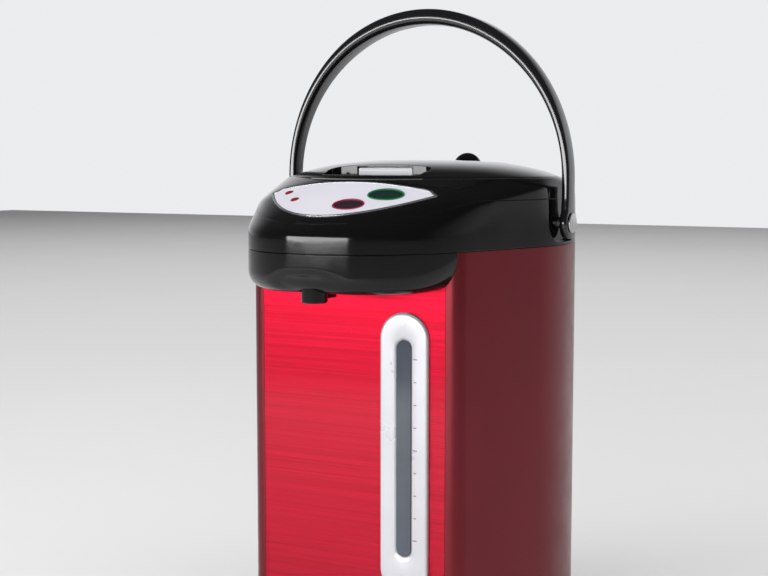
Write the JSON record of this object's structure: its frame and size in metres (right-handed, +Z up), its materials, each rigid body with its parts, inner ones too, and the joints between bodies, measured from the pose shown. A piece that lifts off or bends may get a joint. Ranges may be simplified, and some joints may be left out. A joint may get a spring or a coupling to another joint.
{
  "type": "electric thermo airpot",
  "caption": "Electric hot-water airpot with overhanging dispensing head, hinged lid, carrying bail, water gauge and swivel base.",
  "frame": {"origin": "on the pot's vertical axis, at the height of the surface that the rubber foot ring stands on", "axes": "+Z up along the pot's axis, front and spout towards -Y, +X to the right of someone facing the back (the viewer's right when looking at the front)"},
  "size_m": [0.2286, 0.2802, 0.455],
  "materials": {
    "rubber_foot": "matte rubber",
    "black_plastic_matte": "fine-textured moulded plastic",
    "steel_small": "plated steel",
    "maroon_skin": "satin lacquered sheet metal, dark maroon",
    "brushed_red": "transparent red lacquer over horizontally brushed sheet",
    "silver_plastic": "silver painted plastic, satin",
    "gauge_lens": "smoked blue clear plastic",
    "clear_glass": "clear glass",
    "gloss_black": "polished black moulded plastic",
    "panel_white": "satin printed membrane, pale lavender grey",
    "silver_trim": "bright rim",
    "surround_green": "translucent green ring",
    "indicator_red": "red indicator lens",
    "button_green": "dark button cap",
    "button_red": "dark button cap",
    "board_green": "circuit board",
    "silicone": "translucent silicone",
    "bail_black": "polished black moulded plastic",
    "pot_steel": "brushed stainless steel",
    "gray_plastic": "moulded plastic",
    "lever_gray": "grey satin plastic",
    "felt": "needled felt jacket",
    "mica": "mica sheet",
    "heater_aluminium": "cast aluminium",
    "ceramic_white": "glazed white",
    "motor_can": "drawn steel can",
    "ivory_plastic": "moulded heat-proof plastic"
  },
  "bodies": {
    "foot": {"foot_ring": "rubber_foot", "turntable": "black_plastic_matte", "turntable_washer": "steel_small", "turntable_screw": "steel_small"},
    "pot": {"base_plate": "black_plastic_matte", "base_ring": "black_plastic_matte", "base_screws": "steel_small", "side_skin": "maroon_skin", "front_panel": "brushed_red", "gauge_bezel": "silver_plastic", "gauge_window": "gauge_lens", "sight_tube": "clear_glass", "collar": "gloss_black", "chin_cover": "gloss_black", "top_cover": "gloss_black", "control_panel": "panel_white", "panel_trim": "silver_trim", "button_surrounds": "surround_green", "indicator_lenses": "indicator_red", "control_board": "board_green", "board_switches": "black_plastic_matte", "spout": "gloss_black", "outlet_hose": "silicone", "bail_pins": "black_plastic_matte", "lid_hinge_pin": "steel_small", "hinge_block": "black_plastic_matte", "inner_pot": "pot_steel", "pot_ring": "black_plastic_matte", "insulation": "felt", "band_heater": "mica", "heater_plate": "heater_aluminium", "thermostat": "ceramic_white", "thermal_fuse": "ceramic_white", "pot_supports": "steel_small", "pump_motor": "motor_can", "pump_housing": "ivory_plastic", "suction_pipe": "silicone", "delivery_hose": "silicone", "power_board": "board_green", "board_parts": "black_plastic_matte", "inlet_socket": "black_plastic_matte", "inlet_pins": "steel_small"},
    "bail": {"bail": "bail_black"},
    "lid": {"lid_shell": "gloss_black", "lid_tray": "black_plastic_matte", "lid_inner": "pot_steel", "lid_gasket": "silicone", "steam_baffle": "gray_plastic", "lid_screws": "steel_small", "vent_cap": "gloss_black"},
    "latch": {"latch_lever": "lever_gray"},
    "bolt": {"latch_bolt": "gray_plastic"},
    "dispense": {"dispense_button": "button_green"},
    "reboil": {"reboil_button": "button_red"},
    "impeller": {"impeller": "ivory_plastic"}
  },
  "joints": [
    {"name": "swivel", "type": "hinge", "parent": "foot", "child": "pot", "pos_m": [0, 0, 0.008], "axis": [0, 0, 1], "continuous": true},
    {"name": "bail_swing", "type": "hinge", "parent": "pot", "child": "bail", "pos_m": [0, 0, 0.305], "axis": [1, 0, 0], "range_deg": [-100, 70]},
    {"name": "lid_open", "type": "hinge", "parent": "pot", "child": "lid", "pos_m": [0, 0.0935, 0.329], "axis": [-1, 0, 0], "range_deg": [0, 20]},
    {"name": "latch_pull", "type": "hinge", "parent": "lid", "child": "latch", "pos_m": [0, -0.0594, 0.3386], "axis": [1, 0, 0], "range_deg": [0, 12], "stiffness_Nm_per_rad": 0.05, "springref_deg": -8.59},
    {"name": "bolt_slide", "type": "slide", "parent": "lid", "child": "bolt", "axis": [0, 1, 0], "range_m": [0, 0.0023]},
    {"name": "dispense_press", "type": "slide", "parent": "pot", "child": "dispense", "axis": [0, 0.3907, -0.9205], "range_m": [0, 0.0015], "stiffness_N_per_m": 400, "springref_m": -0.0005},
    {"name": "reboil_press", "type": "slide", "parent": "pot", "child": "reboil", "axis": [0, 0.3907, -0.9205], "range_m": [0, 0.0015], "stiffness_N_per_m": 400, "springref_m": -0.0005},
    {"name": "impeller_spin", "type": "hinge", "parent": "pot", "child": "impeller", "pos_m": [-0.03, -0.035, 0.03], "axis": [0, 0, 1], "continuous": true}
  ],
  "couplings": [
    {"joint": "latch_pull", "follows": "bolt_slide", "rad_per_m": 90}
  ]
}
